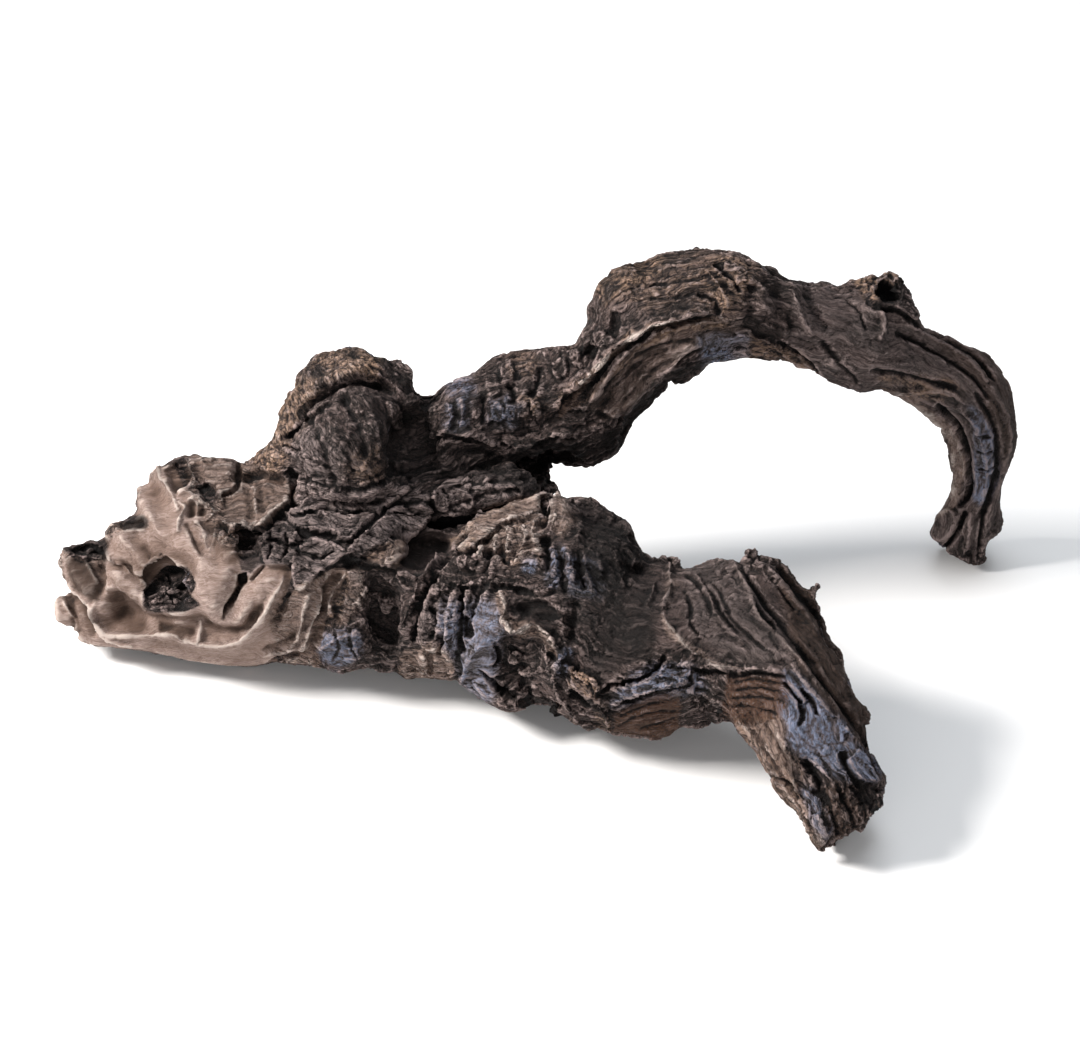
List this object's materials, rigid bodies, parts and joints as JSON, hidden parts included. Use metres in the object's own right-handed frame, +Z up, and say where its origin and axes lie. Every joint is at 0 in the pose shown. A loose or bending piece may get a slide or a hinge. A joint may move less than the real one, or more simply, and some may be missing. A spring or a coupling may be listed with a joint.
{
  "type": "dry root",
  "caption": "Dry weathered root: a hollowed butt with a burl, a front root turning down to a foot, and a back root that arches over and hooks down to the ground.",
  "frame": {"origin": "on the ground, under the middle of the root's outer box", "axes": "+X along the root from the thick butt to the hook, +Y from the front root to the back root, +Z up"},
  "size_m": [0.6356, 0.343, 0.2499],
  "materials": {
    "weathered_wood": "dry, rough, eroded bark and grain, dark brown with pale tan worn areas"
  },
  "bodies": {
    "root": {"dry_root": "weathered_wood"}
  },
  "joints": []
}
